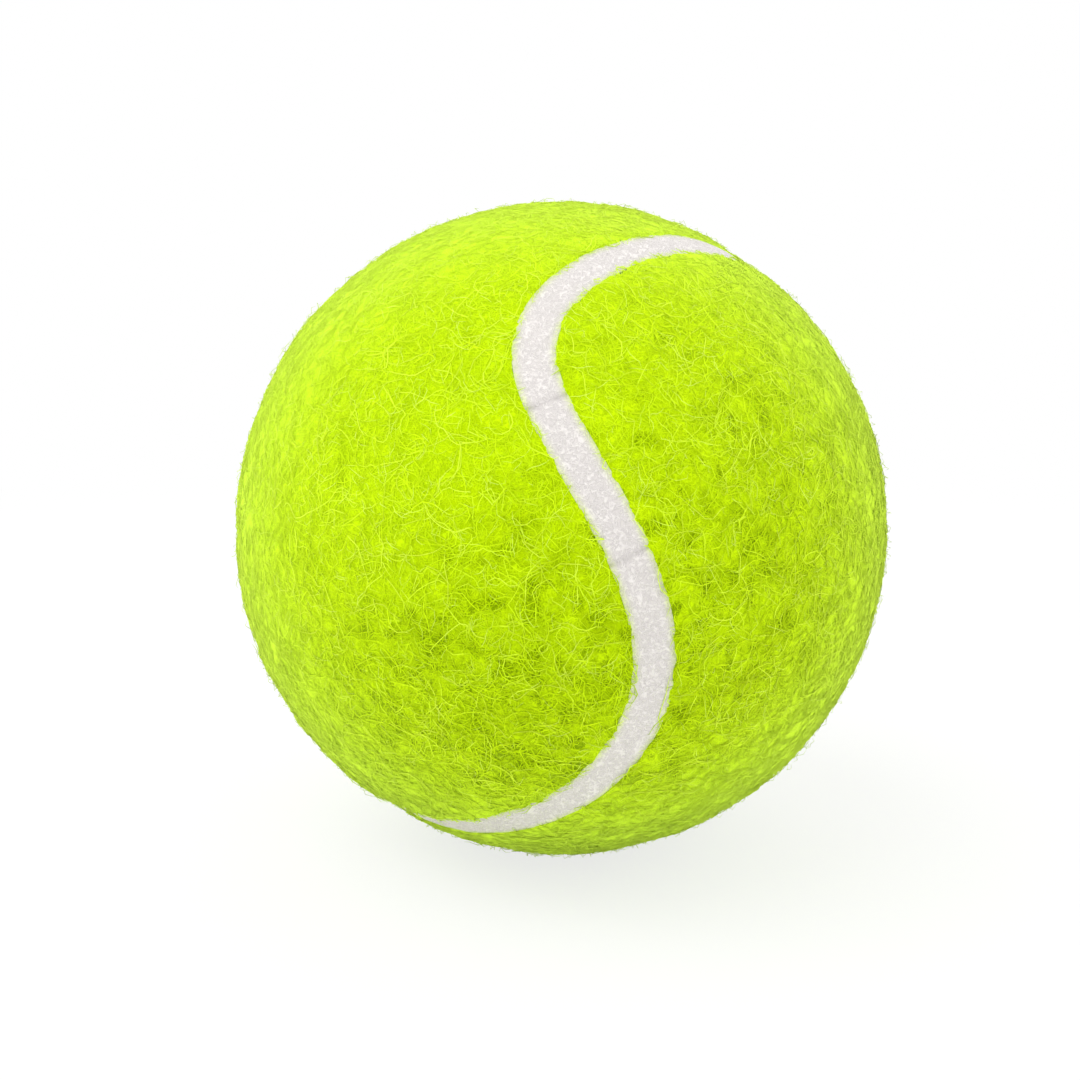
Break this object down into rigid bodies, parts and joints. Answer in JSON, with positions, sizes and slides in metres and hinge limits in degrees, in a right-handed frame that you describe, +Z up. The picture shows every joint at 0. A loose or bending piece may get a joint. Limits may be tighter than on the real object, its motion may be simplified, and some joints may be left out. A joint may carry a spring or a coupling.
{
  "type": "tennis ball",
  "caption": "Round hollow rubber ball with a napped felt cover in wound panels and a recessed white rubber seam between them, for playing tennis.",
  "frame": {"origin": "centre of the ball", "axes": "+Z up as the ball is pictured, -Y towards the viewer, +X to the viewer's right"},
  "size_m": [0.067, 0.067, 0.067],
  "materials": {
    "core_rubber": "matt moulded rubber",
    "core_glue": "cured rubber glue",
    "cement": "dried rubber cement",
    "panel_glue": "spread rubber glue",
    "backing_cloth": "plain woven cloth",
    "felt": "napped wool and nylon felt",
    "seam_rubber": "matt rubber with the print of felt in it"
  },
  "bodies": {
    "root": {"core_half_upper": "core_rubber", "core_half_lower": "core_rubber", "core_glue_ring": "core_glue", "core_cement_coat": "cement", "panel_glue_bottom": "panel_glue", "panel_glue_top": "panel_glue", "panel_backing_bottom": "backing_cloth", "panel_backing_top": "backing_cloth", "felt_nap_bottom": "felt", "felt_nap_top": "felt", "seam_rubber": "seam_rubber"}
  },
  "joints": []
}
